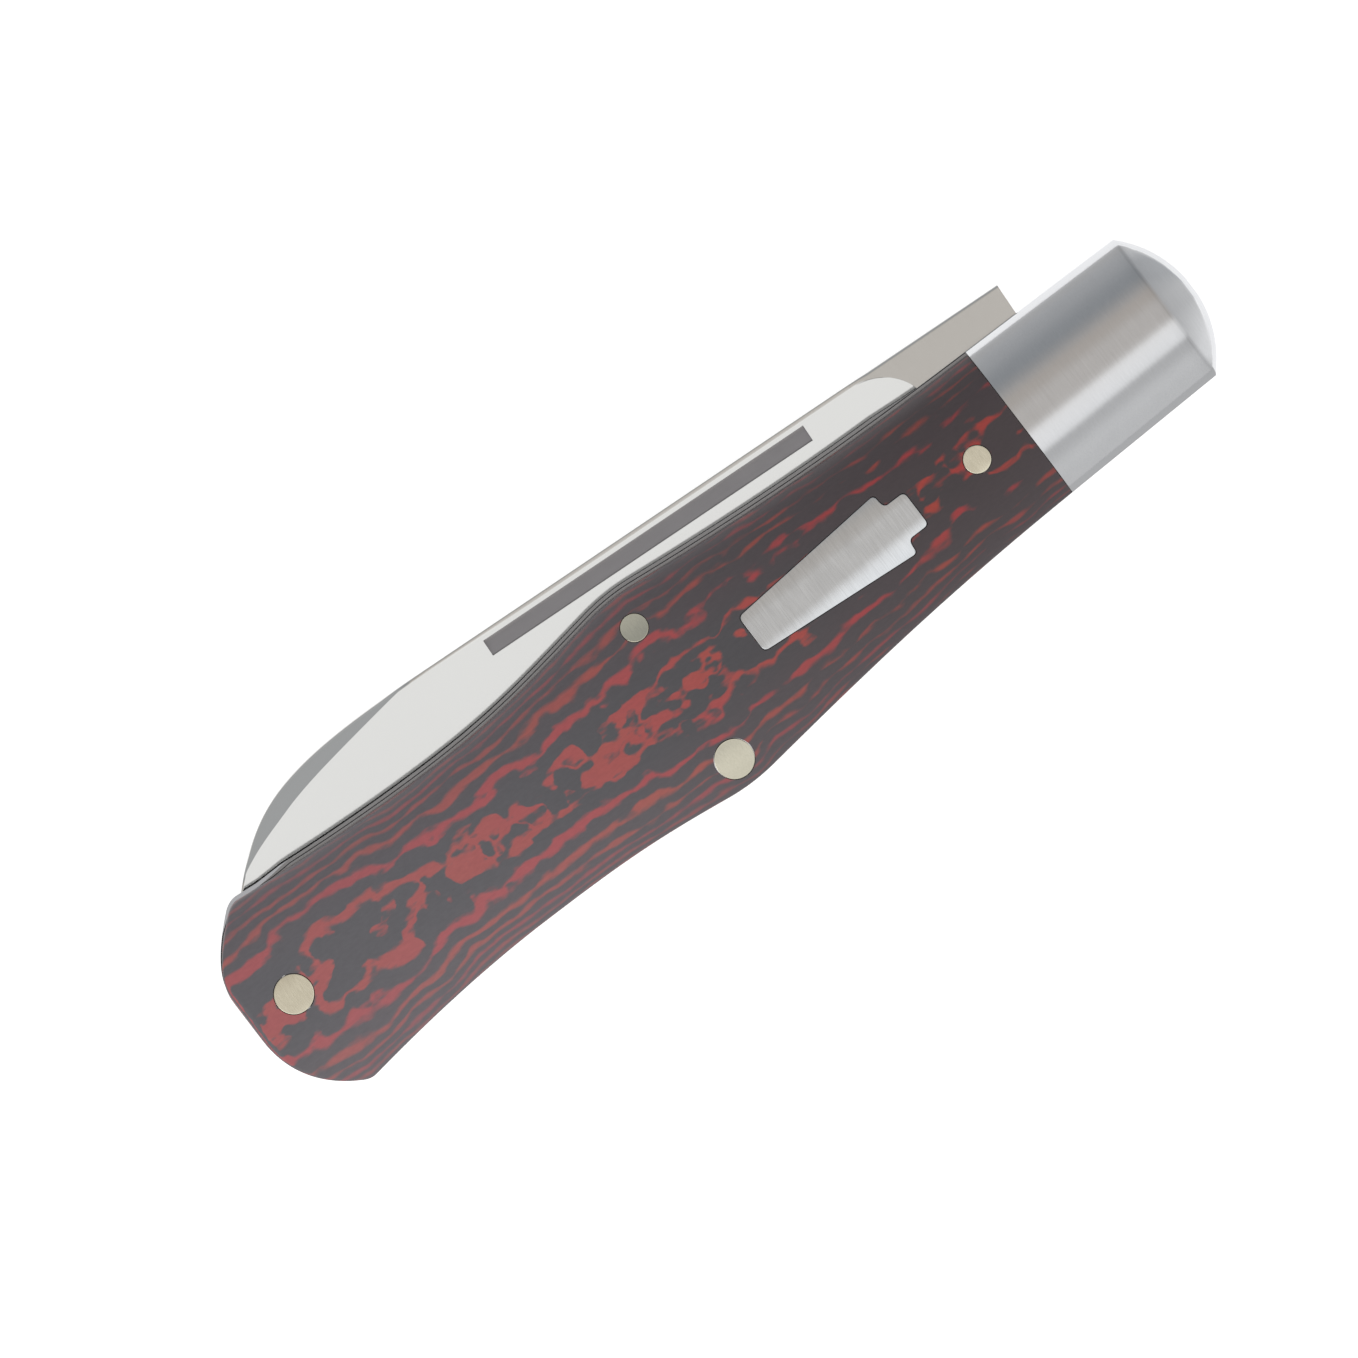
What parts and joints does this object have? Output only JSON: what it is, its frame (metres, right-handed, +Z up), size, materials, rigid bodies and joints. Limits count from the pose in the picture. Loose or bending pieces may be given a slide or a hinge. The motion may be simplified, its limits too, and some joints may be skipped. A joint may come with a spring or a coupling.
{
  "type": "slip-joint folding pocket knife",
  "caption": "Closed folding pocket knife with one drop-point blade in a waisted handle of laminated covers and steel bolsters. The blade turns out of the handle.",
  "frame": {"origin": "middle of the bounding box on the surface that the knife lies on", "axes": "+X along the handle from the butt to the bolsters, +Y out of the side that the blade folds into, +Z up, out of the front of the knife, the face with the shield"},
  "size_m": [0.1, 0.0248, 0.0122],
  "materials": {
    "blade_steel": "satin ground stainless steel",
    "spring_steel": "satin stainless spring steel",
    "liner_steel": "satin stainless steel sheet",
    "bolster_steel": "stainless steel, belt finished across its width",
    "shield_steel": "stainless steel, belt finished across its width",
    "nickel_silver": "fine sanded nickel silver pin stock",
    "bronze": "plain phosphor bronze",
    "red_black_laminate": "wavy black and red fibre and resin laminate, sanded satin"
  },
  "bodies": {
    "handle": {"backspring": "spring_steel", "front_liner": "liner_steel", "rear_liner": "liner_steel", "front_bolster": "bolster_steel", "rear_bolster": "bolster_steel", "front_cover": "red_black_laminate", "rear_cover": "red_black_laminate", "shield": "shield_steel", "pivot_pin": "bolster_steel", "pivot_bushing": "bronze", "front_pivot_washer": "bronze", "rear_pivot_washer": "bronze", "butt_pin": "nickel_silver", "spring_pin": "nickel_silver", "front_cover_middle_pin": "nickel_silver", "front_cover_forward_pin": "nickel_silver", "rear_cover_middle_pin": "nickel_silver", "rear_cover_forward_pin": "nickel_silver", "front_bolster_upper_rivet": "bolster_steel", "front_bolster_lower_rivet": "bolster_steel", "rear_bolster_upper_rivet": "bolster_steel", "rear_bolster_lower_rivet": "bolster_steel"},
    "blade": {"blade": "blade_steel"}
  },
  "joints": [
    {"name": "blade_pivot", "type": "hinge", "parent": "handle", "child": "blade", "pos_m": [0.0415, -0.00018, 0.0061], "axis": [0, 0, -1], "range_deg": [0, 174.7], "deforming": ["backspring"]}
  ]
}
